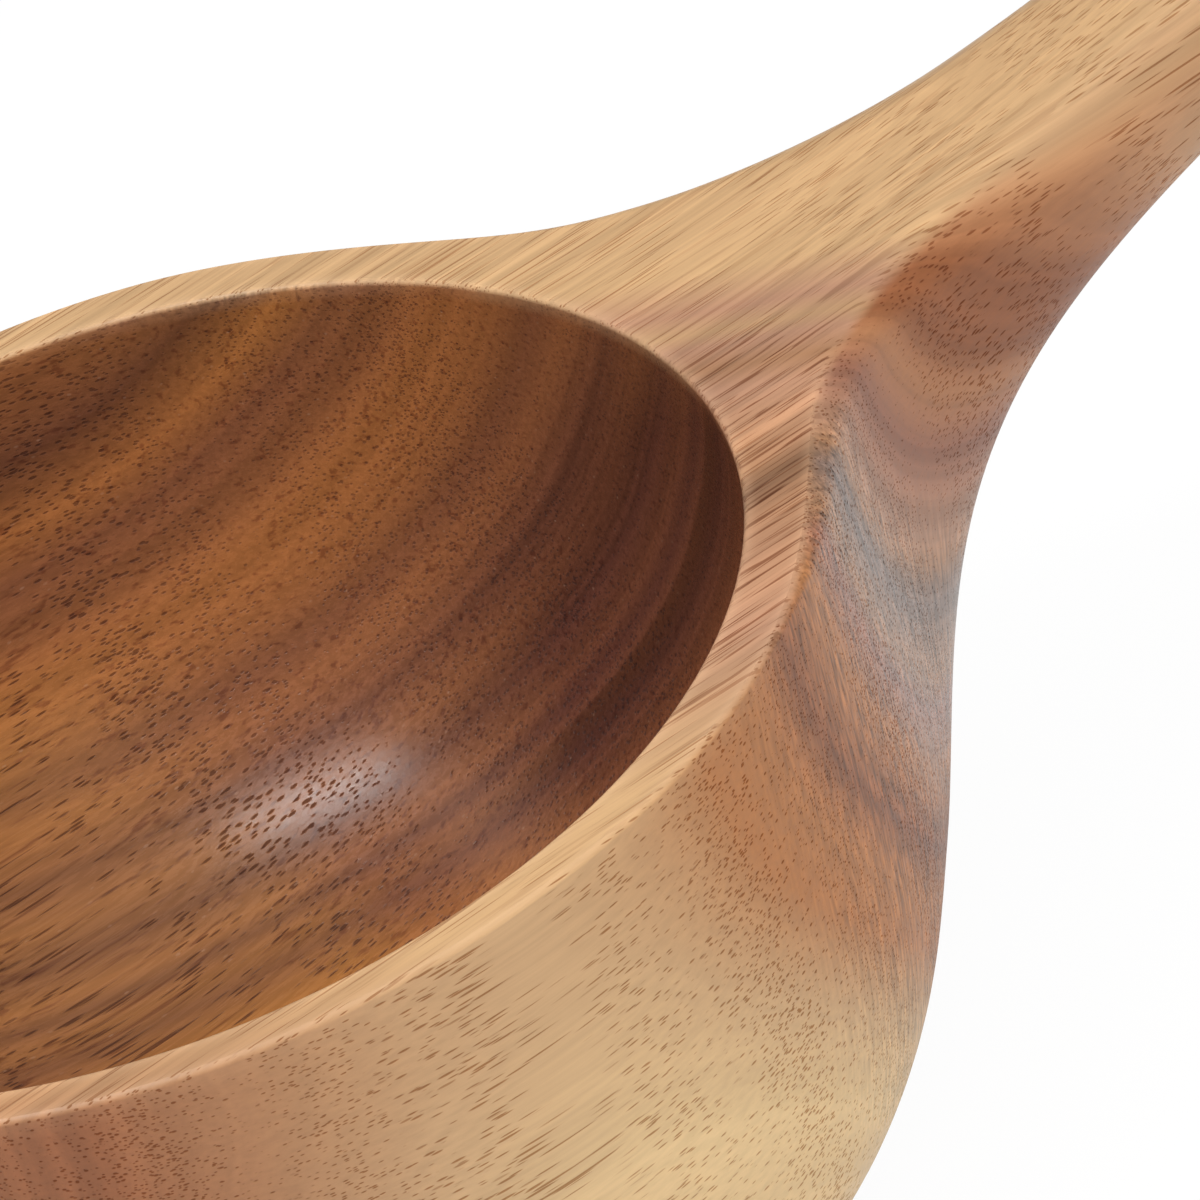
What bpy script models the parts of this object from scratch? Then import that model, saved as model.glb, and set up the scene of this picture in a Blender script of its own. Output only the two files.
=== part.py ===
import math

import bmesh
import bpy

# All sizes are in metres. X runs along the handle, Z is up and the origin is the centre of the foot.

# Bowl
OPENING_DIAMETER = 0.1000
RIM_WIDTH = 0.0038
BOWL_HEIGHT = 0.0600
WALL_CURVE_DEPTH = 0.0629
WALL_CURVE_POWER = 4.0
FLOOR_THICKNESS = 0.0100
CAVITY_CURVE_POWER = 2.5
EDGE_EASE = 0.0005
FOOT_EASE = 0.0010

# Neck, where the bowl's wall runs out into the handle
NECK_BLEND = 0.0226
NECK_BLEND_START = -0.0200
NECK_BLEND_LENGTH = 0.0500
NECK_UNDERSIDE_START = 0.0440
NECK_UNDERSIDE_LENGTH = 0.0260
NECK_DEPTH = 0.0220
NECK_DEPTH_FADE = 0.0144
NECK_DEPTH_LIMIT = 0.0480
NECK_ROOT = 0.0540
NECK_SHOULDER = 0.0031
NECK_SHOULDER_START = 0.0300
NECK_SHOULDER_LENGTH = 0.0280
EDGE_RUNOUT_START = 0.0480
EDGE_RUNOUT_LENGTH = 0.0140

# Handle
HANDLE_END = 0.3060
HANDLE_ROOT_WIDTH = 0.0162
HANDLE_END_WIDTH = 0.0220
HANDLE_WIDEN_START = 0.1000
HANDLE_THICKNESS = 0.0132
HANDLE_BELLY_POWER = 2.35
SHOULDER_RADIUS = 0.0070
SHOULDER_START = 0.0580
SHOULDER_LENGTH = 0.0300
TIP_LENGTH = 0.0130
SWEEP_START = 0.0500
SWEEP_LENGTH = 0.0600
RISE_ANGLE = math.radians(8.7)
LEVEL_START = 0.1900
LEVEL_LENGTH = 0.1050
HANGING_HOLE_DIAMETER = 0.0090
HANGING_HOLE_INSET = 0.0170

# Glued joint between the neck and the handle
JOINT_POSITION = 0.1200
JOINT_GAP = 0.0003
DOWEL_DIAMETER = 0.0050
DOWEL_LENGTH = 0.0360
DOWEL_SPACING = 0.0090
DOWEL_DEPTH = 0.0062
DOWEL_CHAMFER = 0.0006
DOWEL_CLEARANCE = 0.0003

# How finely the curved surfaces are divided
BOWL_STATIONS = 30
NECK_STATIONS = 24
HANDLE_STATIONS = 26
TIP_STATIONS = 8
TOP_POINTS = 3
SHOULDER_POINTS = 4
FLANK_POINTS = 11
FOOT_POINTS = 3
CAVITY_STEPS = 72
CAVITY_POINTS = 18
ROUND_STEPS = 32

OUTER_RADIUS = OPENING_DIAMETER / 2 + RIM_WIDTH


def clear_scene():
    for item in list(bpy.data.objects):
        bpy.data.objects.remove(item, do_unlink=True)


def ease(share):
    share = min(max(share, 0.0), 1.0)
    return share * share * (3.0 - 2.0 * share)


def sweep(distance, length):
    if distance <= 0.0:
        return 0.0
    if distance < length:
        return distance * distance / (2.0 * length)
    return distance - length / 2.0


def top_height(x):
    # Level over the bowl, then a parabola up the neck, a straight rise and a parabola back to level.
    climb = sweep(x - SWEEP_START, SWEEP_LENGTH) - sweep(x - LEVEL_START, LEVEL_LENGTH)
    return BOWL_HEIGHT + math.tan(RISE_ANGLE) * climb


def superellipse(across, reach, power):
    return (1.0 - min(across / reach, 1.0) ** power) ** (1.0 / power)


def wall_radius(depth):
    return OUTER_RADIUS * superellipse(depth, WALL_CURVE_DEPTH, WALL_CURVE_POWER)


def handle_half_width(x):
    along = ease((x - HANDLE_WIDEN_START) / (HANDLE_END - TIP_LENGTH - HANDLE_WIDEN_START))
    return (HANDLE_ROOT_WIDTH + (HANDLE_END_WIDTH - HANDLE_ROOT_WIDTH) * along) / 2.0


def handle_depth(x):
    # Deepens towards the bowl, and levels off before it would pass the foot.
    deepening = NECK_DEPTH * math.exp((NECK_ROOT - x) / NECK_DEPTH_FADE)
    return HANDLE_THICKNESS + (deepening ** -4.0 + NECK_DEPTH_LIMIT ** -4.0) ** -0.25


def shoulder(x):
    # How far the top's edge is taken down: eased at the rim, more at the neck, rounded on the handle.
    neck = (NECK_SHOULDER - EDGE_EASE) * ease((x - NECK_SHOULDER_START) / NECK_SHOULDER_LENGTH)
    return EDGE_EASE + neck + (SHOULDER_RADIUS - NECK_SHOULDER) * ease((x - SHOULDER_START) / SHOULDER_LENGTH)


def shoulder_inset(x, share):
    # Inset of the edge at this share of the shoulder's drop: a parabola that leaves a crisp edge round
    # the rim, turning into a quarter circle where the edge runs out on the neck.
    left = max(1.0 - share, 0.0)
    runout = ease((x - EDGE_RUNOUT_START) / EDGE_RUNOUT_LENGTH)
    return (1.0 - runout) * left * left + runout * (1.0 - math.sqrt(1.0 - left * left))


def half_width_squared(x, depth):
    # Half width of the section at x, at this depth below the top: the bowl and the handle run together
    # along a hyperbola whose reach is the neck's blend, dying out towards the foot.
    bowl = wall_radius(depth) ** 2 - x * x
    belly = min(depth / handle_depth(x), 3.0) ** HANDLE_BELLY_POWER
    handle = handle_half_width(x) ** 2 * (1.0 - belly)
    if x < 0.0:
        handle += NECK_BLEND * 2.0 * x
    reach = NECK_BLEND ** 2 * ease((x - NECK_BLEND_START) / NECK_BLEND_LENGTH)
    reach *= 1.0 - ease((depth - NECK_UNDERSIDE_START) / NECK_UNDERSIDE_LENGTH)
    return (bowl + handle) / 2.0 + math.hypot((bowl - handle) / 2.0, reach)


def section_depth(x):
    # Depth from the top to the foot, or to the keel where the section closes above the foot's level.
    lowest = top_height(x)
    if half_width_squared(x, lowest) > 0.0:
        return lowest
    low = 0.0
    high = lowest
    for _ in range(48):
        middle = (low + high) / 2.0
        if half_width_squared(x, middle) > 0.0:
            low = middle
        else:
            high = middle
    return low


def tip_share(x):
    along = (x - (HANDLE_END - TIP_LENGTH)) / TIP_LENGTH
    return min(max(along, 0.0), 1.0)


def section_half(x):
    # One side of the section at x, from the middle of the top round to the middle of the underside.
    top = top_height(x)
    depth = section_depth(x)
    stands = depth == top
    corner = max(min(shoulder(x), depth * 0.45), 0.000001)
    depths = []
    for k in range(SHOULDER_POINTS):
        depths.append(corner * (1.0 - math.cos(math.pi / 2.0 * k / SHOULDER_POINTS)))
    for k in range(FLANK_POINTS + 1):
        depths.append(corner + (depth - corner) * math.sin(math.pi / 2.0 * k / FLANK_POINTS))
    flank = []
    for d in depths:
        width = math.sqrt(max(half_width_squared(x, d), 0.0))
        width -= corner * shoulder_inset(x, d / corner)
        if stands:
            inside = max(d - depth + FOOT_EASE, 0.0)
            width -= FOOT_EASE - math.sqrt(max(FOOT_EASE * FOOT_EASE - inside * inside, 0.0))
        flank.append((max(width, 0.0), top - d))
    first_width, first_height = flank[0]
    last_width, last_height = flank[-1]
    points = []
    for k in range(TOP_POINTS):
        points.append((first_width * k / TOP_POINTS, first_height))
    points.extend(flank)
    for k in range(1, FOOT_POINTS + 1):
        points.append((last_width * (1.0 - k / FOOT_POINTS), last_height))
    share = tip_share(x)
    if share > 0.0:
        middle = top - depth / 2.0
        narrow = (1.0 - share ** 2.2) ** (1.0 / 2.2)
        thin = (1.0 - share ** 5.0) ** (1.0 / 5.0)
        points = [(y * narrow, middle + (z - middle) * thin) for y, z in points]
    return points


def section_ring(x):
    half = section_half(x)
    other = [(-y, z) for y, z in reversed(half[1:-1])]
    return [(x, y, z) for y, z in half + other]


def loft(name, stations):
    # Carries the section through the stations and closes both ends.
    mesh = bmesh.new()
    rings = []
    for x in stations:
        rings.append([mesh.verts.new(point) for point in section_ring(x)])
    count = len(rings[0])
    for one, two in zip(rings, rings[1:]):
        for k in range(count):
            after = (k + 1) % count
            mesh.faces.new((one[k], two[k], two[after], one[after]))
    mesh.faces.new(rings[0])
    mesh.faces.new(list(reversed(rings[-1])))
    bmesh.ops.remove_doubles(mesh, verts=mesh.verts[:], dist=0.000002)
    bmesh.ops.dissolve_degenerate(mesh, edges=mesh.edges[:], dist=0.000002)
    bmesh.ops.recalc_face_normals(mesh, faces=mesh.faces[:])
    return finish_mesh(name, mesh)


def finish_mesh(name, mesh):
    data = bpy.data.meshes.new(name)
    mesh.to_mesh(data)
    mesh.free()
    for face in data.polygons:
        face.use_smooth = True
    item = bpy.data.objects.new(name, data)
    bpy.context.scene.collection.objects.link(item)
    return item


def cylinder(name, diameter, length, chamfer):
    mesh = bmesh.new()
    profile = [(0.0, length / 2.0), (diameter / 2.0 - chamfer, length / 2.0)]
    if chamfer > 0.0:
        profile.append((diameter / 2.0, length / 2.0 - chamfer))
        profile.append((diameter / 2.0, chamfer - length / 2.0))
    profile.append((diameter / 2.0 - chamfer, -length / 2.0))
    profile.append((0.0, -length / 2.0))
    return turned(name, mesh, profile, ROUND_STEPS)


def turned(name, mesh, profile, steps):
    verts = [mesh.verts.new((radius, 0.0, height)) for radius, height in profile]
    edges = [mesh.edges.new(pair) for pair in zip(verts, verts[1:])]
    bmesh.ops.spin(mesh, geom=verts + edges, cent=(0.0, 0.0, 0.0), axis=(0.0, 0.0, 1.0),
                   angle=2.0 * math.pi, steps=steps, use_merge=True)
    bmesh.ops.remove_doubles(mesh, verts=mesh.verts[:], dist=0.000002)
    bmesh.ops.recalc_face_normals(mesh, faces=mesh.faces[:])
    return finish_mesh(name, mesh)


def as_cutter(item):
    item.hide_render = True
    item.display_type = 'WIRE'
    return item


def cut(item, cutter):
    step = item.modifiers.new(cutter.name, 'BOOLEAN')
    step.operation = 'DIFFERENCE'
    step.solver = 'EXACT'
    step.object = cutter


def cavity_cutter():
    radius = OPENING_DIAMETER / 2.0
    depth = BOWL_HEIGHT - FLOOR_THICKNESS
    profile = [(0.0, BOWL_HEIGHT + 0.004), (radius + EDGE_EASE, BOWL_HEIGHT + 0.004)]
    for k in range(4):
        turn = math.pi / 2.0 * k / 3.0
        profile.append((radius + EDGE_EASE * (1.0 - math.sin(turn)),
                        BOWL_HEIGHT - EDGE_EASE * (1.0 - math.cos(turn))))
    for k in range(1, CAVITY_POINTS + 1):
        turn = math.pi / 2.0 * k / CAVITY_POINTS
        down = EDGE_EASE + (depth - EDGE_EASE) * math.sin(turn)
        share = (down - EDGE_EASE) / (depth - EDGE_EASE)
        profile.append((radius * superellipse(share, 1.0, CAVITY_CURVE_POWER), BOWL_HEIGHT - down))
    return as_cutter(turned('cavity_cutter', bmesh.new(), profile, CAVITY_STEPS))


def wood(name, colour, roughness):
    material = bpy.data.materials.new(name)
    material.use_nodes = True
    shader = material.node_tree.nodes['Principled BSDF']
    shader.inputs['Base Color'].default_value = (*colour, 1.0)
    shader.inputs['Roughness'].default_value = roughness
    shader.inputs['Metallic'].default_value = 0.0
    return material


def bowl_stations():
    stations = []
    for k in range(BOWL_STATIONS + 1):
        stations.append(-OUTER_RADIUS * math.cos(math.pi * 0.6 * k / BOWL_STATIONS))
    first = stations[-1]
    last = JOINT_POSITION - JOINT_GAP / 2.0
    for k in range(1, NECK_STATIONS + 1):
        stations.append(first + (last - first) * k / NECK_STATIONS)
    return stations


def handle_stations():
    first = JOINT_POSITION + JOINT_GAP / 2.0
    straight = HANDLE_END - TIP_LENGTH
    stations = [first + (straight - first) * k / HANDLE_STATIONS for k in range(HANDLE_STATIONS)]
    for k in range(TIP_STATIONS + 1):
        stations.append(straight + TIP_LENGTH * math.sin(math.pi / 2.0 * k / TIP_STATIONS))
    return stations


def joint_slope():
    step = 0.0005
    return math.atan2(top_height(JOINT_POSITION + step) - top_height(JOINT_POSITION - step), 2.0 * step)


def place_on_joint(item, side):
    # Dowels and their bores lie along the handle's slope, one on each side of the middle.
    item.location = (JOINT_POSITION, side * DOWEL_SPACING / 2.0, top_height(JOINT_POSITION) - DOWEL_DEPTH)
    item.rotation_euler = (0.0, math.pi / 2.0 - joint_slope(), 0.0)


def build():
    clear_scene()
    bowl = loft('bowl', bowl_stations())
    bowl.data.materials.append(wood('bowl_wood', (0.52, 0.30, 0.15), 0.45))
    cut(bowl, cavity_cutter())
    handle = loft('handle', handle_stations())
    handle.data.materials.append(wood('handle_wood', (0.50, 0.28, 0.14), 0.45))
    hole = as_cutter(cylinder('hanging_hole_cutter', HANGING_HOLE_DIAMETER, HANDLE_THICKNESS * 3.0, 0.0))
    hole_x = HANDLE_END - HANGING_HOLE_INSET
    hole.location = (hole_x, 0.0, top_height(hole_x) - HANDLE_THICKNESS / 2.0)
    cut(handle, hole)
    for side, word in ((1.0, 'left'), (-1.0, 'right')):
        dowel = cylinder('dowel_' + word, DOWEL_DIAMETER, DOWEL_LENGTH, DOWEL_CHAMFER)
        dowel.data.materials.append(wood('dowel_wood_' + word, (0.62, 0.45, 0.28), 0.6))
        place_on_joint(dowel, side)
        bore = as_cutter(cylinder('dowel_bore_' + word, DOWEL_DIAMETER + 2.0 * DOWEL_CLEARANCE,
                                  DOWEL_LENGTH + 2.0 * DOWEL_CLEARANCE, 0.0))
        place_on_joint(bore, side)
        cut(bowl, bore)
        cut(handle, bore)


build()
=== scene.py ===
import bmesh
import bpy
import numpy as np
from mathutils import Matrix, Quaternion, Vector


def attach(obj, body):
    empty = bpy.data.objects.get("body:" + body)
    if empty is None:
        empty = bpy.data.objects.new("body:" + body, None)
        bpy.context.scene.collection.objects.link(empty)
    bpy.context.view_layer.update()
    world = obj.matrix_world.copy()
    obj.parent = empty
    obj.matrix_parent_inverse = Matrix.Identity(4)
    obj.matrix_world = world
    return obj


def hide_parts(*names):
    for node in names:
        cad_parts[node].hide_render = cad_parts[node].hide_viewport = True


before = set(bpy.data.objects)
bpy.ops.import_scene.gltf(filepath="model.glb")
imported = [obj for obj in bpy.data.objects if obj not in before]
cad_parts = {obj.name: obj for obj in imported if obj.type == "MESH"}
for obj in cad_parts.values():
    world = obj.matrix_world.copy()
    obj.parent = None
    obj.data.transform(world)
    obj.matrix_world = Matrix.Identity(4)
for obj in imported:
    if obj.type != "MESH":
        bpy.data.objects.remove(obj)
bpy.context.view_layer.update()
print("stage: frame loaded")

# The carved form, in metres: the foot's face is at height 0 and the handle runs along +X.
ladle = {
    "openingRadius": 0.0500, "outerRadius": 0.0538, "height": 0.0600,
    "wallDepth": 0.0629, "wallPower": 4.0, "floor": 0.0100, "cavityPower": 2.5,
    "edgeEase": 0.0005, "footEase": 0.0010,
    "blend": 0.0226, "blendStart": -0.0200, "blendLength": 0.0500,
    "underStart": 0.0440, "underLength": 0.0260,
    "neckDepth": 0.0220, "neckFade": 0.0144, "neckLimit": 0.0480, "neckRoot": 0.0540,
    "neckShoulder": 0.0031, "neckShoulderStart": 0.0300, "neckShoulderLength": 0.0280,
    "runoutStart": 0.0480, "runoutLength": 0.0140,
    "end": 0.3060, "rootWidth": 0.0162, "endWidth": 0.0220, "widenStart": 0.1000,
    "thickness": 0.0132, "bellyPower": 2.35,
    "shoulder": 0.0070, "shoulderStart": 0.0580, "shoulderLength": 0.0300,
    "tip": 0.0130, "sweepStart": 0.0500, "sweepLength": 0.0600, "rise": np.radians(8.7),
    "levelStart": 0.1900, "levelLength": 0.1050,
    "joint": 0.1200, "gap": 0.00006, "hole": 0.0045, "holeInset": 0.0170,
}


def easeStep(t):
    # 0 to 1 along a cubic that starts and ends level
    t = np.clip(t, 0.0, 1.0)
    return t * t * (3.0 - 2.0 * t)


def sweepUp(distance, length):
    # a parabola over this length, then straight on
    d = np.maximum(distance, 0.0)
    return np.where(d < length, d * d / (2.0 * length), d - length / 2.0)


def topHeight(x):
    # level over the bowl, parabola up the neck, straight rise, parabola back to level
    climb = sweepUp(x - ladle["sweepStart"], ladle["sweepLength"])
    climb = climb - sweepUp(x - ladle["levelStart"], ladle["levelLength"])
    return ladle["height"] + np.tan(ladle["rise"]) * climb


def superRound(share, power):
    # quarter of a superellipse, from 1 down to 0
    return (1.0 - np.clip(share, 0.0, 1.0) ** power) ** (1.0 / power)


def halfWidthSquared(x, depth):
    # squared half width of the section: the larger of bowl and handle, joined along a hyperbola
    wall = superRound(depth / ladle["wallDepth"], ladle["wallPower"])
    bowl = (ladle["outerRadius"] * wall) ** 2 - x * x
    deepening = ladle["neckDepth"] * np.exp((ladle["neckRoot"] - x) / ladle["neckFade"])
    deep = ladle["thickness"] + (deepening ** -4.0 + ladle["neckLimit"] ** -4.0) ** -0.25
    belly = np.minimum(depth / deep, 3.0) ** ladle["bellyPower"]
    along = easeStep((x - ladle["widenStart"]) / (ladle["end"] - ladle["tip"] - ladle["widenStart"]))
    half = (ladle["rootWidth"] + (ladle["endWidth"] - ladle["rootWidth"]) * along) / 2.0
    handle = half ** 2 * (1.0 - belly) + 2.0 * ladle["blend"] * np.minimum(x, 0.0)
    reach = ladle["blend"] ** 2 * easeStep((x - ladle["blendStart"]) / ladle["blendLength"])
    reach = reach * (1.0 - easeStep((depth - ladle["underStart"]) / ladle["underLength"]))
    return (bowl + handle) / 2.0 + np.hypot((bowl - handle) / 2.0, reach)


# in metres, steps of the halving, and the largest corner as a share of the section's depth and half width
joining = {"merge": 0.000002, "sliver": 0.000001, "halvings": 46, "cornerDeep": 0.45, "cornerWide": 0.9}


def sectionDepth(x):
    # depth at which each section closes, by halving, or the foot's level
    lowest = topHeight(x)
    low, high = np.zeros_like(x), lowest.copy()
    for _ in range(joining["halvings"]):
        middle = (low + high) / 2.0
        solid = halfWidthSquared(x, middle) > 0.0
        low, high = np.where(solid, middle, low), np.where(solid, high, middle)
    return np.where(halfWidthSquared(x, lowest) > 0.0, lowest, low)


def sectionSide(x, cornerRows, flankRows, footRows):
    # half widths and heights of one side, from the top's edge round to the middle of the underside
    top, deep = topHeight(x), sectionDepth(x)
    corner = ladle["edgeEase"] + (ladle["neckShoulder"] - ladle["edgeEase"]) * easeStep(
        (x - ladle["neckShoulderStart"]) / ladle["neckShoulderLength"])
    corner = corner + (ladle["shoulder"] - ladle["neckShoulder"]) * easeStep(
        (x - ladle["shoulderStart"]) / ladle["shoulderLength"])
    half = np.sqrt(np.maximum(halfWidthSquared(x, np.zeros_like(x)), 0.0))
    # no larger than a thin section allows
    most = np.minimum(deep * joining["cornerDeep"], half * joining["cornerWide"])
    corner = np.clip(corner, joining["sliver"], np.maximum(most, joining["sliver"]))[:, None]
    stands = (deep == top)[:, None]
    deep = deep[:, None]
    rounding = corner * (1.0 - np.cos(np.linspace(0.0, np.pi / 2.0, cornerRows)))
    flank = corner + (deep - corner) * np.sin(np.linspace(0.0, np.pi / 2.0, flankRows + 1)[1:])
    depth = np.concatenate([rounding, flank], axis=1)
    width = np.sqrt(np.maximum(halfWidthSquared(x[:, None], depth), 0.0))
    # the edge's inset: a parabola round the rim, a quarter circle once the edge has run out on the neck
    left = np.maximum(1.0 - depth / corner, 0.0)
    runout = easeStep((x - ladle["runoutStart"]) / ladle["runoutLength"])[:, None]
    width = width - corner * ((1.0 - runout) * left ** 2 + runout * (1.0 - np.sqrt(1.0 - left ** 2)))
    ease = ladle["footEase"]
    inside = np.maximum(depth - deep + ease, 0.0)
    width = width - np.where(stands, ease - np.sqrt(np.maximum(ease ** 2 - inside ** 2, 0.0)), 0.0)
    width = np.maximum(width, 0.0)
    shrink = np.linspace(1.0, 0.0, footRows + 1)[1:]
    width = np.concatenate([width, width[:, -1:] * shrink], axis=1)
    foot = np.repeat(top[:, None] - deep, footRows, axis=1)
    height = np.concatenate([top[:, None] - depth, foot], axis=1)
    return width, height


def gridFaces(first, rows, columns, closed=False):
    # quads of a grid whose vertices start at first, row by row
    across = np.arange(columns if closed else columns - 1)
    a = first + np.arange(rows - 1)[:, None] * columns + across
    b = first + np.arange(rows - 1)[:, None] * columns + (across + 1) % columns
    return np.stack([a, b, b + columns, a + columns], axis=-1).reshape(-1, 4)


def makePiece(name, parts, attributes):
    # parts: (points, faces) of each grid; close seams are merged and faces turned outwards
    points = np.concatenate([p for p, _ in parts])
    faces = np.concatenate([f for _, f in parts])
    data = bpy.data.meshes.new(name)
    data.from_pydata(points.tolist(), [], faces.tolist())
    for label, values in attributes.items():
        layer = data.attributes.new(label, "FLOAT", "POINT")
        layer.data.foreach_set("value", values.astype(np.float32))
    form = bmesh.new()
    form.from_mesh(data)
    bmesh.ops.remove_doubles(form, verts=form.verts[:], dist=joining["merge"])
    bmesh.ops.dissolve_degenerate(form, edges=form.edges[:], dist=joining["sliver"])
    bmesh.ops.recalc_face_normals(form, faces=form.faces[:])
    form.to_mesh(data)
    form.free()
    data.polygons.foreach_set("use_smooth", np.ones(len(data.polygons), bool))
    piece = bpy.data.objects.new(name, data)
    bpy.context.scene.collection.objects.link(piece)
    return piece


bowlForm = {"bowlStations": 130, "neckStations": 120, "sweep": np.pi * 0.6, "crowding": 1.5,
            "cornerRows": 9, "flankRows": 56, "footRows": 8, "endPoints": 20,
            "rimRows": 18, "brimRows": 7, "cavityRows": 64,
            "toneStart": 0.3, "toneLength": 1.2, "arrisHighlightReach": 0.8}   # in widths of the eased edge; the last is how far the painted arris highlight reaches


def buildBowl():
    # the outer skin is the section carried along X; rim and cavity run round the bowl's axis
    # stations crowd towards the bowl's far end, where each section opens fast
    turn = bowlForm["sweep"] * np.linspace(0.0, 1.0, bowlForm["bowlStations"]) ** bowlForm["crowding"]
    bowlX = -ladle["outerRadius"] * np.cos(turn)
    last = ladle["joint"] - ladle["gap"] / 2.0
    neckX = np.linspace(bowlX[-1], last, bowlForm["neckStations"] + 1)[1:]
    x = np.concatenate([bowlX, neckX])
    rows = bowlForm["cornerRows"], bowlForm["flankRows"], bowlForm["footRows"]
    width, height = sectionSide(x, *rows)
    ringY = np.concatenate([width, -width[:, -2::-1]], axis=1)
    ringZ = np.concatenate([height, height[:, -2::-1]], axis=1)
    ringX = np.repeat(x[:, None], ringY.shape[1], axis=1)
    skin = np.stack([ringX, ringY, ringZ], axis=-1).reshape(-1, 3)
    skinFaces = gridFaces(0, len(x), ringY.shape[1])
    # outline of the flat top: one side, across the joint, back along the other side
    edge = np.stack([x, width[:, 0]], axis=-1)
    cross = np.linspace(1.0, -1.0, bowlForm["endPoints"] + 2)[1:-1] * width[-1, 0]
    across = np.stack([np.full_like(cross, last), cross], axis=-1)
    outline = np.concatenate([edge, across, (edge * [1.0, -1.0])[::-1][:-1]])
    angle = np.arctan2(outline[:, 1], outline[:, 0])
    spoke = np.stack([np.cos(angle), np.sin(angle)], axis=-1)
    ease, radius = ladle["edgeEase"], ladle["openingRadius"]
    share = (1.0 - np.cos(np.linspace(0.0, np.pi, bowlForm["rimRows"]))) / 2.0
    plan = outline + (spoke * (radius + ease) - outline) * share[:, None, None]
    rim = np.concatenate([plan, topHeight(plan[..., 0])[..., None]], axis=-1)
    # cavity: a small round at the brim, then a superellipse down to its middle
    brim = np.linspace(0.0, np.pi / 2.0, bowlForm["brimRows"])[1:]
    brimR, brimD = radius + ease * (1.0 - np.sin(brim)), ease * (1.0 - np.cos(brim))
    fall = np.sin(np.linspace(0.0, np.pi / 2.0, bowlForm["cavityRows"] + 1)[1:])
    wallR = radius * superRound(fall, ladle["cavityPower"])
    wallD = ease + (ladle["height"] - ladle["floor"] - ease) * fall
    cupR = np.concatenate([[radius + ease], brimR, wallR])
    cupD = np.concatenate([[0.0], brimD, wallD])
    columns = len(outline)
    cupZ = np.repeat((ladle["height"] - cupD)[:, None, None], columns, axis=1)
    cup = np.concatenate([spoke * cupR[:, None, None], cupZ], axis=-1)
    # the joint's end face: a fan from its middle
    end = skin.reshape(len(x), -1, 3)[-1]
    topEdge = np.concatenate([across[::-1], np.full((len(across), 1), end[0, 2])], axis=-1)
    capRing = np.concatenate([end, topEdge])
    middle = np.repeat([[last, 0.0, end[0, 2] - ladle["thickness"] / 2.0]], len(capRing), axis=0)
    cap = np.concatenate([capRing, middle])
    sizes = [len(skin), rim.size // 3, cup.size // 3, len(cap)]
    starts = np.concatenate([[0], np.cumsum(sizes)])
    parts = [(skin, skinFaces),
             (rim.reshape(-1, 3), gridFaces(starts[1], len(share), columns, True)),
             (cup.reshape(-1, 3), gridFaces(starts[2], len(cupR), columns, True)),
             (cap, gridFaces(starts[3], 2, len(capRing), True))]
    # the cavity's own tone starts within the eased brim
    intoCup = (cupD - bowlForm["toneStart"] * ease) / (bowlForm["toneLength"] * ease)
    cupTone = np.repeat(easeStep(intoCup), columns)
    inner = np.concatenate([np.zeros(sizes[0] + sizes[1]), cupTone, np.zeros(sizes[3])])
    # painted highlight along the rim's two arrises, lightest at each arris and fading where the outer one
    # runs out on the neck; the same falloff also lets the eased edge take the rim's tone
    reach = bowlForm["arrisHighlightReach"] * ease
    crisp = 1.0 - easeStep((x - ladle["runoutStart"]) / ladle["runoutLength"])
    arrisHighlight = np.exp(-((height[:, :1] - height) / reach) ** 2) * crisp[:, None]
    arrisHighlightRing = np.concatenate([arrisHighlight, arrisHighlight[:, -2::-1]], axis=1)
    gapOut = np.linalg.norm(plan - outline, axis=-1)
    gapIn = np.linalg.norm(plan - spoke * (radius + ease), axis=-1)
    outer = 1.0 - easeStep((outline[:, 0] - ladle["runoutStart"]) / ladle["runoutLength"])
    arrisHighlightRim = np.maximum(np.exp(-(gapOut / ease) ** 2) * outer, np.exp(-(gapIn / ease) ** 2))
    arrisHighlightCup = np.repeat(np.exp(-(cupD / reach) ** 2), columns)
    arrisHighlightMask = np.concatenate([arrisHighlightRing.ravel(), arrisHighlightRim.ravel(), arrisHighlightCup, np.zeros(sizes[3])])
    return makePiece("bowlBody", parts, {"inside": inner, "edge": arrisHighlightMask})


handleForm = {"stations": 150, "tipStations": 36, "cornerRows": 10, "flankRows": 30, "topRows": 8,
              "tipPlan": 2.2, "tipSide": 5.0}


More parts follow.
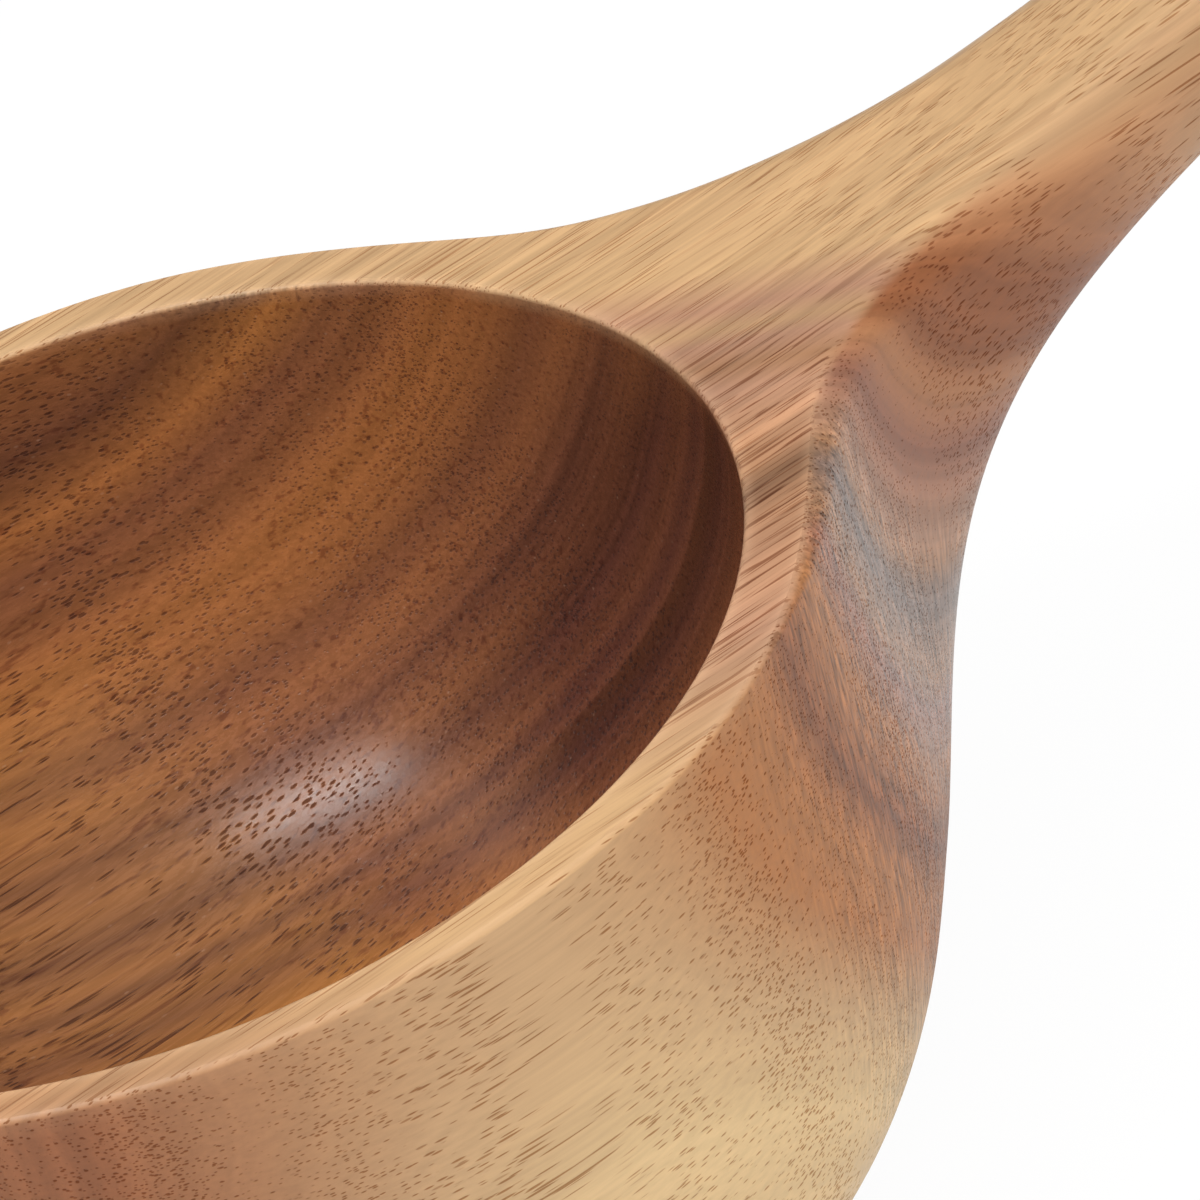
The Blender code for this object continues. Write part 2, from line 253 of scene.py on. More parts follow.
def buildHandle():
    # the section carried along X; its end is drawn in along superellipses, in plan and from the side
    first = ladle["joint"] + ladle["gap"] / 2.0
    straight = ladle["end"] - ladle["tip"]
    turn = np.linspace(0.0, np.pi / 2.0, handleForm["tipStations"] + 1)[1:]
    body = np.linspace(first, straight, handleForm["stations"])
    x = np.concatenate([body, straight + ladle["tip"] * np.sin(turn)])
    width, height = sectionSide(x, handleForm["cornerRows"], handleForm["flankRows"], 1)
    top = np.linspace(0.0, 1.0, handleForm["topRows"] + 1)[:-1]
    width = np.concatenate([width[:, :1] * top, width], axis=1)
    height = np.concatenate([np.repeat(height[:, :1], len(top), axis=1), height], axis=1)
    share = np.clip((x - straight) / ladle["tip"], 0.0, 1.0)[:, None]
    middle = (height[:, :1] + height[:, -1:]) / 2.0
    width = width * superRound(share, handleForm["tipPlan"])
    height = middle + (height - middle) * superRound(share, handleForm["tipSide"])
    ringY = np.concatenate([width, -width[:, -2:0:-1]], axis=1)
    ringZ = np.concatenate([height, height[:, -2:0:-1]], axis=1)
    ringX = np.repeat(x[:, None], ringY.shape[1], axis=1)
    skin = np.stack([ringX, ringY, ringZ], axis=-1)
    columns = ringY.shape[1]
    core = np.repeat([[first, 0.0, middle[0, 0]]], columns, axis=0)
    cap = np.concatenate([skin[0], core])
    parts = [(skin.reshape(-1, 3), gridFaces(0, len(x), columns, True)),
             (cap, gridFaces(skin.size // 3, 2, columns, True))]
    piece = makePiece("handleBody", parts, {"inside": np.zeros(skin.size // 3 + len(cap))})
    drill(piece)
    return piece


holeForm = {"ease": 0.0008, "easeRows": 8, "sides": 96, "past": 0.004}


def drill(piece):
    # the hanging hole, with its rims eased: a profile turned into a spool, which is cut out
    holeX = ladle["end"] - ladle["holeInset"]
    top = float(topHeight(np.array(holeX)))
    low, radius, ease = top - ladle["thickness"], ladle["hole"], holeForm["ease"]
    turn = np.linspace(0.0, np.pi / 2.0, holeForm["easeRows"])
    flare = radius + ease * (1.0 - np.sin(turn))
    drop = ease * (1.0 - np.cos(turn))
    radii = np.concatenate([[radius + ease], flare, flare[::-1], [radius + ease]])
    past = holeForm["past"]
    levels = np.concatenate([[top + past], top - drop, (low + drop)[::-1], [low - past]])
    angle = np.linspace(0.0, 2.0 * np.pi, holeForm["sides"] + 1)[:-1]
    spool = np.stack([holeX + radii[:, None] * np.cos(angle), radii[:, None] * np.sin(angle),
                      np.repeat(levels[:, None], len(angle), axis=1)], axis=-1)
    ends = np.concatenate([np.repeat([[holeX, 0.0, levels[0]]], len(angle), axis=0), spool[0],
                           spool[-1], np.repeat([[holeX, 0.0, levels[-1]]], len(angle), axis=0)])
    count = spool.size // 3
    parts = [(spool.reshape(-1, 3), gridFaces(0, len(radii), len(angle), True)),
             (ends, np.concatenate([gridFaces(count, 2, len(angle), True),
                                    gridFaces(count + 2 * len(angle), 2, len(angle), True)]))]
    cutter = makePiece("holeSpool", parts, {})
    step = piece.modifiers.new("hole", "BOOLEAN")
    step.operation, step.solver, step.object = "DIFFERENCE", "EXACT", cutter
    solid = piece.evaluated_get(bpy.context.evaluated_depsgraph_get())
    data = bpy.data.meshes.new_from_object(solid)
    piece.modifiers.remove(step)
    piece.data = data
    bpy.data.objects.remove(cutter)


bowlBody = buildBowl()
handleBody = buildHandle()
print("stage: forms built", len(bowlBody.data.polygons), len(handleBody.data.polygons))


def addGroup(name, inputs, outputs):
    tree = bpy.data.node_groups.new(name, "ShaderNodeTree")
    for label, kind in inputs:
        tree.interface.new_socket(label, in_out="INPUT", socket_type="NodeSocket" + kind)
    for label, kind in outputs:
        tree.interface.new_socket(label, in_out="OUTPUT", socket_type="NodeSocket" + kind)
    return tree, tree.nodes.new("NodeGroupInput"), tree.nodes.new("NodeGroupOutput")


def put(tree, kind, settings=None, values=None, links=None):
    # one node: its settings, its socket values and what feeds its sockets
    node = tree.nodes.new("ShaderNode" + kind)
    for key, value in (settings or {}).items():
        setattr(node, key, value)
    for key, value in (values or {}).items():
        node.inputs[key].default_value = value
    for key, source in (links or {}).items():
        tree.links.new(source, node.inputs[key])
    return node


def maths(tree, operation, a, b=None, c=None, clamp=False):
    node = put(tree, "Math", {"operation": operation, "use_clamp": clamp})
    for socket, value in zip(node.inputs, (a, b, c)):
        if value is None:
            continue
        if isinstance(value, (int, float)):
            socket.default_value = value
        else:
            tree.links.new(value, socket)
    return node.outputs[0]


def times(tree, a, b):
    return maths(tree, "MULTIPLY", a, b)


def timesPlus(tree, a, b, c):
    return maths(tree, "MULTIPLY_ADD", a, b, c)


def rootOfSquares(tree, a, b):
    # distance from a line, out of the two distances across it
    return maths(tree, "SQRT", maths(tree, "ADD", times(tree, a, a), times(tree, b, b)))


def spread(tree, value, low, high, toLow=0.0, toHigh=1.0):
    # a soft change: toLow where the value is low, toHigh where it is high
    node = put(tree, "MapRange", {"interpolation_type": "SMOOTHSTEP"},
               {"From Min": low, "From Max": high, "To Min": toLow, "To Max": toHigh}, {"Value": value})
    return node.outputs["Result"]


def blendValue(tree, share, a, b):
    node = put(tree, "Mix", {"data_type": "FLOAT"}, links={0: share})
    for socket, value in ((node.inputs[2], a), (node.inputs[3], b)):
        if isinstance(value, (int, float)):
            socket.default_value = value
        else:
            tree.links.new(value, socket)
    return node.outputs[0]


def blendColor(tree, share, a, b, mode="MIX"):
    node = put(tree, "Mix", {"data_type": "RGBA", "blend_type": mode})
    for socket, value in ((node.inputs[0], share), (node.inputs[6], a), (node.inputs[7], b)):
        if isinstance(value, (int, float)):
            socket.default_value = value
        elif isinstance(value, tuple):
            socket.default_value = (*value, 1.0)
        else:
            tree.links.new(value, socket)
    return node.outputs[2]


def stained(tree, share, color, stain):
    # the colour, with this share of it multiplied by the stain
    return blendColor(tree, share, color, blendColor(tree, 1.0, color, stain, "MULTIPLY"))


def scaled(tree, vector, factor):
    # a place or a colour times a number
    node = put(tree, "VectorMath", {"operation": "SCALE"}, links={0: vector})
    if isinstance(factor, (int, float)):
        node.inputs["Scale"].default_value = factor
    else:
        tree.links.new(factor, node.inputs["Scale"])
    return node.outputs[0]


def addVectors(tree, a, b):
    return put(tree, "VectorMath", {"operation": "ADD"}, links={0: a, 1: b}).outputs[0]


def stretched(tree, vector, along, across):
    # the wood's space, in millimetres, squeezed to cells of this length and width
    node = put(tree, "VectorMath", {"operation": "MULTIPLY"}, links={0: vector})
    node.inputs[1].default_value = (1.0 / along, 1.0 / across, 1.0 / across)
    return node.outputs[0]


def noise(tree, vector, detail, roughness, distortion=0.0):
    return put(tree, "TexNoise", values={"Scale": 1.0, "Detail": detail, "Roughness": roughness,
                                         "Distortion": distortion}, links={"Vector": vector})


def rampColor(tree, value, first, span, stops):
    # stops at places between first and first plus span, on a value in the same measure
    place = maths(tree, "DIVIDE", maths(tree, "SUBTRACT", value, first), span)
    node = put(tree, "ValToRGB", links={"Fac": place})
    marks = node.color_ramp.elements
    while len(marks) < len(stops):
        marks.new(1.0)
    for mark, (at, color) in zip(marks, stops):
        mark.position = (at - first) / span
        mark.color = (*color, 1.0)
    return node.outputs["Color"]


# the block of wood, in millimetres: the heart of the tree lies under the bowl's mouth, along the handle
grain = {
    "heartY": 4.0, "heartZ": 58.0, "ringSpan": 70.0,
    "layX": 0.20, "layY": 0.866, "layZ": 0.50, "layFrom": -12.0, "laySpan": 60.0,
    "slantX": 0.95, "slantFrom": -75.0, "slantSpan": 170.0,
    "acrossFrom": -60.0, "acrossSpan": 120.0, "alongFrom": -60.0, "alongSpan": 60.0,
    "sideY": 22.5, "sideZ": 66.0, "sideLeanY": -0.70, "sideLeanZ": -0.66,
    "wander": 2.2, "wanderCell": (60.0, 24.0), "bandWander": 0.35,   # growth bands wander less than fibres
    "fibreCell": (34.0, 0.42), "streakCell": (24.0, 0.55), "ringLines": 0.55, "layLines": 0.26,
    "striaPerMm": 2.5, "striaLean": -0.50, "striaDown": 0.30,
    # length, width and share of the vessels cut open: outside, inside, and the pale flecks inside
    "vessels": ((12.0, 0.23, 0.60), (26.0, 0.34, 0.40)),
    "pores": ((9.0, 0.33, 0.58), (22.0, 0.44, 0.42)),
    "flecks": (0.9, 0.34, 0.06),
    "vesselWall": (0.36, 0.20), "vesselFade": 0.12,
}


def vessels(tree, space, along, across, share):
    # open vessels: long cells of the wood, of which this share is cut wide enough to show
    cells = put(tree, "TexVoronoi", values={"Scale": 1.0, "Randomness": 1.0},
                links={"Vector": stretched(tree, space, along, across)})
    pick = put(tree, "SeparateColor", links={"Color": cells.outputs["Color"]})
    wide = spread(tree, pick.outputs["Red"], 1.0 - share, 1.0 + grain["vesselFade"] - share)
    return times(tree, spread(tree, cells.outputs["Distance"], *grain["vesselWall"]), wide)


def twoVessels(tree, space, sizes):
    return maths(tree, "MAXIMUM", *(vessels(tree, space, *size) for size in sizes))


def growthLines(tree, distance, perMm):
    # fine lines that follow the growth bands
    node = put(tree, "TexNoise", {"noise_dimensions": "1D"}, {"Scale": 1.0, "Detail": 4.0, "Roughness": 0.62})
    tree.links.new(times(tree, distance, perMm), node.inputs["W"])
    return node.outputs["Fac"]


def grainGroup():
    # growth bands, vessels and fibres, from the place in the block alone
    labels = ("Ring", "Lay", "Slant", "Along", "Across", "Side", "RingLines", "LayLines",
              "Vessel", "Pore", "Fibre", "Streak", "Stria", "Fleck")
    tree, given, out = addGroup("grainSpace", [("Place", "Vector")], [(label, "Float") for label in labels])
    place = scaled(tree, given.outputs["Place"], 1000.0)   # to millimetres
    slow = noise(tree, stretched(tree, place, *grain["wanderCell"]), 2.0, 0.5)
    centred = put(tree, "VectorMath", {"operation": "SUBTRACT"}, links={0: slow.outputs["Color"]})
    centred.inputs[1].default_value = (0.5, 0.5, 0.5)
    shift = scaled(tree, centred.outputs[0], grain["wander"] * 2.0)
    bent = addVectors(tree, place, shift)
    calm = addVectors(tree, place, scaled(tree, shift, grain["bandWander"]))
    axes = put(tree, "SeparateXYZ", links={"Vector": calm}).outputs
    x, y, z = axes["X"], axes["Y"], axes["Z"]
    dy = maths(tree, "SUBTRACT", y, grain["heartY"])
    dz = maths(tree, "SUBTRACT", z, grain["heartZ"])
    ring = rootOfSquares(tree, dy, dz)
    lay = timesPlus(tree, y, grain["layY"], timesPlus(tree, dz, grain["layZ"], times(tree, x, grain["layX"])))
    sideY = maths(tree, "SUBTRACT", y, timesPlus(tree, x, grain["sideLeanY"], grain["sideY"]))
    sideZ = maths(tree, "SUBTRACT", z, timesPlus(tree, x, grain["sideLeanZ"], grain["sideZ"]))
    upright = put(tree, "CombineXYZ", links={
        "X": timesPlus(tree, z, grain["striaLean"], times(tree, x, grain["striaPerMm"])),
        "Y": times(tree, y, grain["striaPerMm"]), "Z": times(tree, z, grain["striaDown"])})
    sources = {
        "Ring": ring, "Lay": lay, "Slant": timesPlus(tree, x, grain["slantX"], y), "Along": x, "Across": y,
        "Side": rootOfSquares(tree, sideY, sideZ),
        "RingLines": growthLines(tree, ring, grain["ringLines"]),
        "LayLines": growthLines(tree, lay, grain["layLines"]),
        "Vessel": twoVessels(tree, calm, grain["vessels"]), "Pore": twoVessels(tree, calm, grain["pores"]),
        "Fibre": noise(tree, stretched(tree, bent, *grain["fibreCell"]), 3.0, 0.62).outputs["Fac"],
        "Streak": noise(tree, stretched(tree, bent, *grain["streakCell"]), 2.0, 0.6).outputs["Fac"],
        "Stria": noise(tree, upright.outputs[0], 1.0, 0.5, 0.4).outputs["Fac"],
        "Fleck": vessels(tree, bent, *grain["flecks"]),
    }
    for label in labels:
        tree.links.new(sources[label], out.inputs[label])
    return tree


grainSpace = grainGroup()


def tint(red, green, blue):
    # a screen colour, 0 to 255, as the shader's linear colour
    share = np.array([red, green, blue]) / 255.0
    return tuple(np.where(share <= 0.04045, share / 12.92, ((share + 0.055) / 1.055) ** 2.4).tolist())


# the wood's few tones, and how strongly a growth band darkens or lightens what it crosses; one pale tone is
# not the wood's own but the colour of a painted highlight along the rim's arrises
woodTones = {"cocoa": tint(95, 55, 40), "walnut": tint(95, 60, 40), "umber": tint(130, 80, 50),
             "gold": tint(140, 90, 50), "mauve": tint(140, 95, 75), "slate": tint(120, 100, 90),
             "hazel": tint(150, 110, 80), "amber": tint(160, 105, 60), "tan": tint(160, 110, 75),
             "rose": tint(160, 120, 95), "honey": tint(165, 130, 95), "straw": tint(180, 145, 105),
             "cream": tint(200, 170, 125), "arrisHighlight": tint(226, 188, 152), "fleck": tint(196, 164, 140)}
bandTones = {"deep": 0.58, "dim": 0.75, "faint": 0.88, "plain": 1.0, "light": 1.1, "bright": 1.25}
# where they lie, in millimetres: walls from the heart, left wall along the handle,
# level top slantwise and across, inside from a leaning side heart and along the lay of its bands
outsideBands = [(0, "honey"), (13, "honey"), (15, "tan"), (16.5, "umber"), (18.5, "umber"), (20, "tan"),
                (22.5, "mauve"), (27, "rose"), (29, "hazel"), (31.5, "slate"), (36, "hazel"), (38.5, "mauve"),
                (42.5, "amber"), (47.5, "umber"), (51, "amber"), (54, "amber"), (58, "straw"), (62, "cream"),
                (70, "cream")]
alongBands = [(-60, "walnut"), (-30, "umber"), (-8, "honey"), (0, "honey")]
topBands = [(-75, "hazel"), (-55, "straw"), (-36, "straw"), (-10, "rose"), (18, "hazel"), (34, "rose"),
            (38.5, "hazel"), (43, "rose"), (46, "honey"), (50, "rose"), (58, "straw"), (92, "straw")]
acrossBands = [(-60, "plain"), (-43, "plain"), (-37, "bright"), (-34, "plain"), (-30, "plain"), (-27, "deep"),
               (-24, "plain"), (-21, "bright"), (-16, "plain"), (-12, "faint"), (-7, "faint"), (0, "light"),
               (18, "light"), (28, "faint"), (39, "dim"), (44, "faint"), (60, "plain")]
insideBands = [(0, "cocoa"), (22, "cocoa"), (32, "umber"), (38, "umber"), (43, "gold"), (54, "gold"),
               (70, "umber")]
layBands = [(-12, "plain"), (-6.5, "light"), (-2.5, "dim"), (-0.5, "plain"), (1.5, "deep"), (3.5, "plain"),
            (6.5, "deep"), (10, "plain"), (13.5, "dim"), (18, "plain"), (20.5, "faint"), (24, "light"),
            (28, "bright"), (31, "plain"), (34.5, "faint"), (37, "bright"), (40.5, "deep"), (43, "plain"),
            (48, "bright")]
insideHues = {"dark": (0.95, 0.97, 1.20), "light": (1.01, 1.03, 0.80)}
topHues = {"dark": (0.98, 0.98, 1.02), "light": (1.01, 1.00, 0.95)}


def bandColor(tone, hues):
    # dark bands lean to wine red, light ones to honey; halved, since a ramp's colours end at 1
    share = float(easeStep((tone - 0.72) / 0.5))
    return tuple(tone * (d + (l - d) * share) / 2.0 for d, l in zip(hues["dark"], hues["light"]))


def toneStops(bands):
    return [(place, woodTones[name]) for place, name in bands]


def bandStops(bands, hues):
    return [(place, bandColor(bandTones[name], hues)) for place, name in bands]


# what lies over the bands; four numbers are a soft change, from one place to another, and its two values
figure = {
    "flat": (0.72, 0.96, 0.0, 1.0), "endGrain": (0.35, 0.75, 0.0, 1.0), "edgeLevel": 0.9,
    "plainWall": (12.0, -26.0, 0.0, 0.9), "stripeFade": (38.0, 60.0, 0.0, 0.85),
    "rimStreak": (0.56, 0.61, 0.0, 1.0), "rimStain": (0.54, 0.41, 0.34),
    "rimStart": (-36.0, -8.0, 0.25, 1.0), "rimEnd": (36.0, 54.0, 1.0, 0.3),
    "ringLines": (0.28, 0.72, 0.86, 1.12), "ringFade": (46.0, 57.0, 1.0, 0.25),
    "layLines": (0.28, 0.72, -2.0, 2.0), "layFade": (18.0, 32.0, 0.46, 0.16),
    "insideStreak": (0.54, 0.70, 0.0, 0.8), "insideStain": (0.58, 0.48, 0.52),
    "neckUp": (22.0, 30.0, 0.0, 1.0), "neckAlong": (0.0, 20.0, 0.0, 1.0), "stria": 2.3,
    "hair": (0.25, 0.75, -1.2, 1.0), "hairStrength": 0.06, "hairMoreInside": 0.05,
    # the first number is the strength of the painted highlight along the rim's arrises
    "arrisHighlight": 0.10, "fleck": 0.30,
    "vesselShown": (0.0, 1.0, 0.85, 0.65), "vesselStain": (0.52, 0.36, 0.26),
    "poreShown": (0.15, 0.60, 0.90, 0.62), "poreStain": (0.34, 0.27, 0.27),
    "fibreRough": (0.2, 0.8, -0.05, 0.08), "poreRough": 0.55,
    "polish": -0.14, "polishFade": (38.0, 48.0, 1.0, 0.0),
    "relief": 0.32, "reliefDepth": 0.00012, "fibreRelief": 0.22, "striaRelief": 0.25,
}


def outsideColor(tree, give, flat, edge):
    # walls banded by their distance from the heart; away from the handle they fade into one slow change
    walls = rampColor(tree, give["Ring"], 0.0, grain["ringSpan"], toneStops(outsideBands))
    plain = rampColor(tree, give["Along"], grain["alongFrom"], grain["alongSpan"], toneStops(alongBands))
    walls = blendColor(tree, spread(tree, give["Along"], *figure["plainWall"]), walls, plain)
    # level top: slantwise tones, stripes that fade up the neck, and thin streaks round the rim
    level = rampColor(tree, give["Slant"], grain["slantFrom"], grain["slantSpan"], toneStops(topBands))
    stripe = rampColor(tree, give["Across"], grain["acrossFrom"], grain["acrossSpan"],
                       bandStops(acrossBands, topHues))
    noStripe = (0.5, 0.5, 0.5)
    stripe = blendColor(tree, spread(tree, give["Slant"], *figure["stripeFade"]), stripe, noStripe)
    level = scaled(tree, blendColor(tree, 1.0, level, stripe, "MULTIPLY"), 2.0)
    roundRim = times(tree, spread(tree, give["Slant"], *figure["rimStart"]),
                     spread(tree, give["Slant"], *figure["rimEnd"]))
    streaks = times(tree, spread(tree, give["Streak"], *figure["rimStreak"]), roundRim)
    level = stained(tree, streaks, level, figure["rimStain"])
    # the eased edge takes the rim's tone
    isLevel = maths(tree, "MAXIMUM", flat, times(tree, edge, figure["edgeLevel"]))
    color = blendColor(tree, isLevel, walls, level)
    lines = maths(tree, "SUBTRACT", spread(tree, give["RingLines"], *figure["ringLines"]), 1.0)
    strength = spread(tree, give["Ring"], *figure["ringFade"])
    return scaled(tree, color, timesPlus(tree, lines, strength, 1.0))


def insideColor(tree, give):
    # darker towards the handle, crossed by bands and by fine lines that stand out most on that dark side
    color = rampColor(tree, give["Side"], 0.0, grain["ringSpan"], toneStops(insideBands))
    band = rampColor(tree, give["Lay"], grain["layFrom"], grain["laySpan"], bandStops(layBands, insideHues))
    color = blendColor(tree, 1.0, color, band, "MULTIPLY")
    lines = spread(tree, give["LayLines"], *figure["layLines"])
    strength = spread(tree, give["Side"], *figure["layFade"])
    color = scaled(tree, color, timesPlus(tree, lines, strength, 2.0))   # 2 makes up for the halved bands
    return stained(tree, spread(tree, give["Streak"], *figure["insideStreak"]), color, figure["insideStain"])


def woodMaterial(name, finish):
    material = bpy.data.materials.new(name)
    material.use_nodes = True
    tree = material.node_tree
    shader = tree.nodes["Principled BSDF"]
    wood = put(tree, "Group")
    wood.node_tree = grainSpace
    tree.links.new(put(tree, "TexCoord").outputs["Object"], wood.inputs["Place"])
    give = wood.outputs
    inside = put(tree, "Attribute", {"attribute_name": "inside"}).outputs["Fac"]
    edge = put(tree, "Attribute", {"attribute_name": "edge"}).outputs["Fac"]
    normal = put(tree, "SeparateXYZ", links={"Vector": put(tree, "NewGeometry").outputs["Normal"]}).outputs
    across = maths(tree, "ABSOLUTE", normal["X"])
    flat = spread(tree, normal["Z"], *figure["flat"])
    color = blendColor(tree, inside, outsideColor(tree, give, flat, edge), insideColor(tree, give))
    # upright sanding lines show where the neck cuts across the grain
    crossCut = times(tree, spread(tree, across, *figure["endGrain"]), maths(tree, "SUBTRACT", 1.0, inside))
    onNeck = times(tree, spread(tree, give["Ring"], *figure["neckUp"]),
                   spread(tree, give["Along"], *figure["neckAlong"]))
    crossCut = times(tree, crossCut, onNeck)
    strength = times(tree, crossCut, figure["stria"])
    lines = timesPlus(tree, maths(tree, "SUBTRACT", give["Stria"], 0.5), strength, 1.0)
    strength = timesPlus(tree, inside, figure["hairMoreInside"], figure["hairStrength"])
    hair = timesPlus(tree, spread(tree, give["Fibre"], *figure["hair"]), strength, 1.0)
    color = scaled(tree, color, times(tree, hair, lines))
    # painted highlight: the rim's arrises are lightened towards a pale tone
    color = blendColor(tree, times(tree, edge, figure["arrisHighlight"]), color, woodTones["arrisHighlight"])
    # thin vessels outside, wide pores inside, least on the level top and where the cavity cuts them across
    pore = blendValue(tree, inside, give["Vessel"], give["Pore"])
    shown = blendValue(tree, inside, spread(tree, flat, *figure["vesselShown"]),
                       spread(tree, across, *figure["poreShown"]))
    stain = blendColor(tree, inside, figure["vesselStain"], figure["poreStain"])
    color = stained(tree, times(tree, pore, shown), color, stain)
    fleck = times(tree, times(tree, give["Fleck"], inside), figure["fleck"])
    color = blendColor(tree, fleck, color, woodTones["fleck"])
    tree.links.new(color, shader.inputs["Base Color"])
    # the cut-across neck is polished more than the rest, and open pores are dull
    rough = blendValue(tree, inside, finish["outsideRough"], finish["insideRough"])
    rough = maths(tree, "ADD", rough, spread(tree, give["Fibre"], *figure["fibreRough"]))
    polished = times(tree, crossCut, spread(tree, give["Ring"], *figure["polishFade"]))
    rough = timesPlus(tree, polished, figure["polish"], rough)
    rough = maths(tree, "MULTIPLY_ADD", pore, figure["poreRough"], rough, clamp=True)
    tree.links.new(rough, shader.inputs["Roughness"])
    shader.inputs["Specular IOR Level"].default_value = finish["shine"]
    relief = timesPlus(tree, give["Fibre"], figure["fibreRelief"], times(tree, pore, -1.0))
    relief = timesPlus(tree, times(tree, give["Stria"], crossCut), figure["striaRelief"], relief)
    bump = put(tree, "Bump", values={"Strength": figure["relief"], "Distance": figure["reliefDepth"]},
               links={"Height": relief})
    tree.links.new(bump.outputs["Normal"], shader.inputs["Normal"])
    return material


bowlFinish = {"outsideRough": 0.42, "insideRough": 0.25, "shine": 0.28}
handleFinish = {"outsideRough": 0.42, "insideRough": 0.42, "shine": 0.28}
dowelFinish = {"outsideRough": 0.65, "insideRough": 0.65, "shine": 0.28}
bowlWood = woodMaterial("bowlWood", bowlFinish)
handleWood = woodMaterial("handleWood", handleFinish)
dowelWood = woodMaterial("dowelWood", dowelFinish)
for piece, material, node, slotName in ((bowlBody, bowlWood, "bowl", "bowl_wood"),
                                        (handleBody, handleWood, "handle", "handle_wood")):
    piece.data.materials.clear()
    piece.data.materials.append(material)
    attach(piece, "root")
    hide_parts(node)
for name in ("dowel_left", "dowel_right"):
    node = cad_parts[name]
    node.data.materials.clear()
    node.data.materials.append(dowelWood)
print("stage: wood dressed")


# camera: place round the rim's middle, read from the two rim circles and the outline in the photograph
view = {"azimuth": np.radians(-23.33), "elevation": np.radians(33.02), "roll": np.radians(-19.96),
        "distance": 0.600, "aim": (0.02808, -0.02776, 0.0600), "focalPixels": 8056.6, "imagePixels": 1200.0,
        "sensor": 36.0, "nearest": 0.01, "farthest": 20.0}


def addCamera():
    az, el, roll = view["azimuth"], view["elevation"], view["roll"]
    back = np.array([np.sin(az) * np.cos(el), -np.cos(az) * np.cos(el), np.sin(el)])
    right = np.array([np.cos(az), np.sin(az), 0.0])
    up = np.cross(back, right)
    turnedRight = np.cos(roll) * right + np.sin(roll) * up
    turnedUp = -np.sin(roll) * right + np.cos(roll) * up
    place = np.array(view["aim"]) + view["distance"] * back
    data = bpy.data.cameras.new("photoCamera")
    data.sensor_width = view["sensor"]
    data.lens = view["focalPixels"] * view["sensor"] / view["imagePixels"]
    data.clip_start, data.clip_end = view["nearest"], view["farthest"]
    camera = bpy.data.objects.new("photoCamera", data)
    columns = np.stack([turnedRight, turnedUp, back, place], axis=-1)
    camera.matrix_world = Matrix(np.vstack([columns, [0.0, 0.0, 0.0, 1.0]]).tolist())
    bpy.context.scene.collection.objects.link(camera)
    bpy.context.scene.camera = camera


def addLight(name, place, aim, width, depth, watts, mirrored, spin):
    data = bpy.data.lights.new(name, "AREA")
    data.shape, data.size, data.size_y, data.energy = "RECTANGLE", width, depth, watts
    lamp = bpy.data.objects.new(name, data)
    lamp.location, lamp.visible_glossy = place, mirrored
    turned = (Vector(aim) - Vector(place)).to_track_quat("-Z", "Y")
    turned = turned @ Quaternion((0.0, 0.0, 1.0), np.radians(spin))
    lamp.rotation_euler = turned.to_euler()
    bpy.context.scene.collection.objects.link(lamp)


room = {"floorSize": 3.0, "floorTone": 0.86, "floorRough": 0.9, "floorShine": 0.1, "floorWhite": 0.96,
        "light": 0.45, "lightReflected": 0.12}


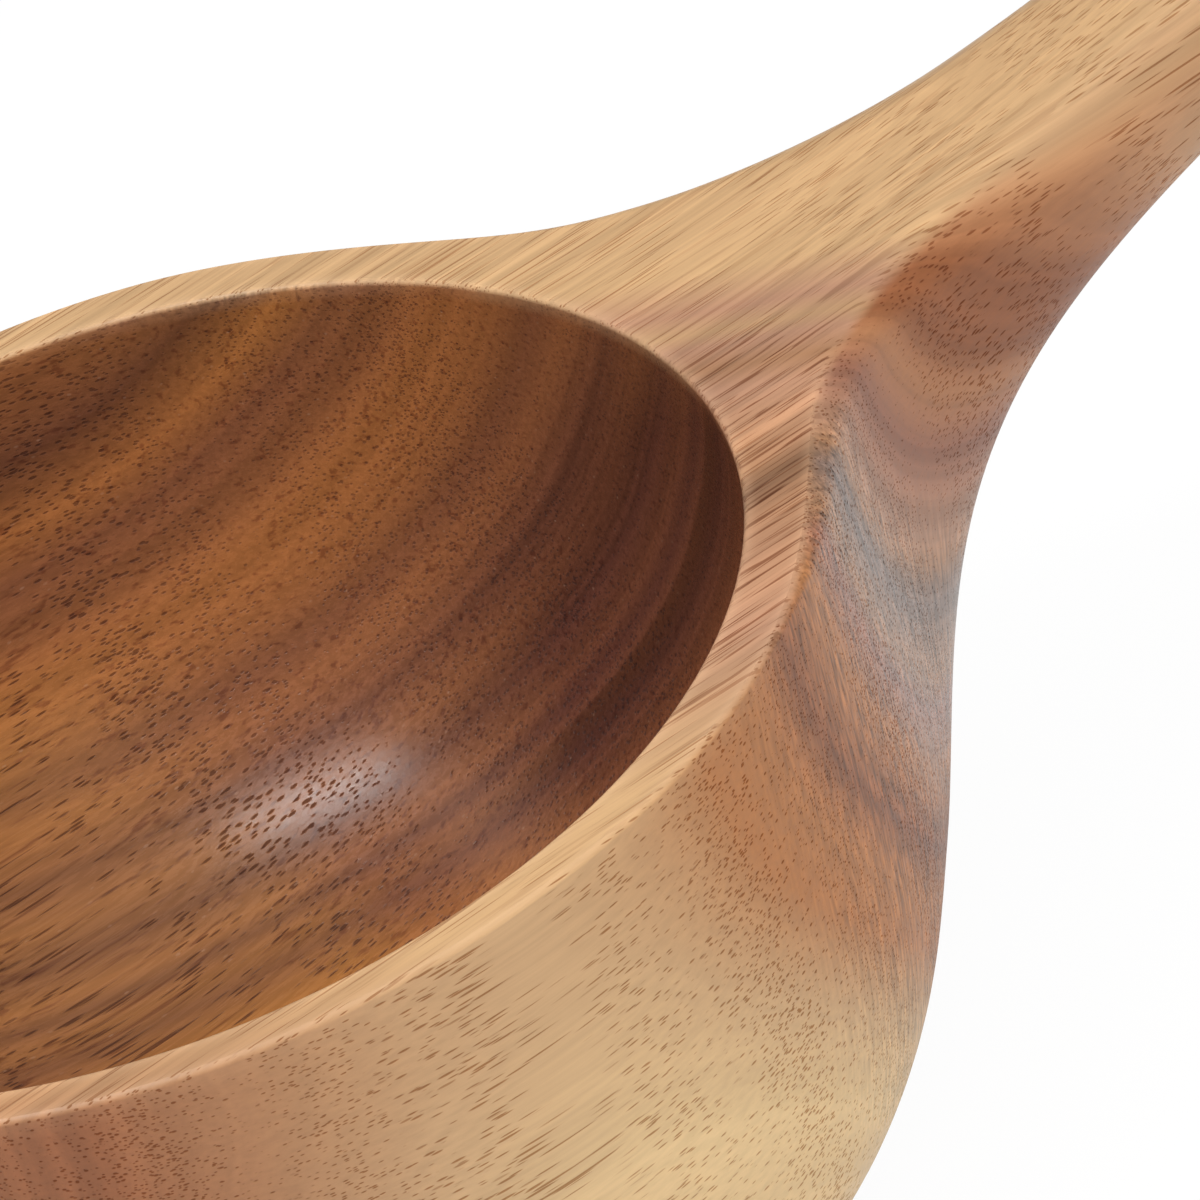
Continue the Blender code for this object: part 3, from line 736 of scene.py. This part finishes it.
def addStage():
    size = room["floorSize"]
    data = bpy.data.meshes.new("floor")
    data.from_pydata([(-size, -size, 0.0), (size, -size, 0.0), (size, size, 0.0), (-size, size, 0.0)],
                     [], [(0, 1, 2, 3)])
    floor = bpy.data.objects.new("floor", data)
    bpy.context.scene.collection.objects.link(floor)
    material = bpy.data.materials.new("paleFloor")
    material.use_nodes = True
    tree = material.node_tree
    shader = tree.nodes["Principled BSDF"]
    tone = room["floorTone"]
    shader.inputs["Base Color"].default_value = (tone, tone, tone, 1.0)
    shader.inputs["Roughness"].default_value = room["floorRough"]
    shader.inputs["Specular IOR Level"].default_value = room["floorShine"]
    # white to the camera and in reflections, but for the little that keeps the shadow
    white = put(tree, "Emission", values={"Strength": 1.0})
    path = put(tree, "LightPath").outputs
    seen = maths(tree, "MAXIMUM", path["Is Camera Ray"], path["Is Glossy Ray"])
    share = times(tree, seen, room["floorWhite"])
    mixed = put(tree, "MixShader", links={0: share, 1: shader.outputs[0], 2: white.outputs[0]})
    tree.links.new(mixed.outputs[0], tree.nodes["Material Output"].inputs["Surface"])
    data.materials.append(material)
    world = bpy.data.worlds.new("studio")
    world.use_nodes = True
    tree = world.node_tree
    sky = tree.nodes["Background"]
    # the room is dim in reflections, so that only the lamps shine in the oiled wood
    path = put(tree, "LightPath").outputs
    dimmed = timesPlus(tree, path["Is Glossy Ray"], room["lightReflected"] - room["light"], room["light"])
    tree.links.new(dimmed, sky.inputs["Strength"])
    bright = put(tree, "Background", values={"Strength": 1.0})
    mixed = put(tree, "MixShader", links={0: path["Is Camera Ray"], 1: sky.outputs[0], 2: bright.outputs[0]})
    for node in (sky, bright):
        node.inputs["Color"].default_value = (1.0, 1.0, 1.0, 1.0)
    tree.links.new(mixed.outputs[0], tree.nodes["World Output"].inputs["Surface"])
    bpy.context.scene.world = world
    bpy.context.scene.view_settings.view_transform = "Standard"


addCamera()
addStage()
# lamps: place, aim, width, depth, watts, seen in reflections, turn about the lamp's own axis
lamps = {
    "overhead": ((0.08, -0.12, 0.95), (0.03, 0.0, 0.04), 0.80, 0.80, 5.0, False, 0.0),
    "windowLeft": ((-0.338, -0.080, 0.724), (0.02, 0.0, 0.03), 0.36, 0.09, 3.0, True, 52.0),
    "windowBack": ((-0.390, 0.310, 0.630), (0.02, 0.0, 0.03), 0.30, 0.22, 0.25, True, 0.0),
    "frontFill": ((-0.10, -0.75, 0.62), (0.03, 0.0, 0.03), 0.60, 0.40, 4.0, False, 0.0),
}
for name, lamp in lamps.items():
    addLight(name, *lamp)
print("stage: camera and light set")
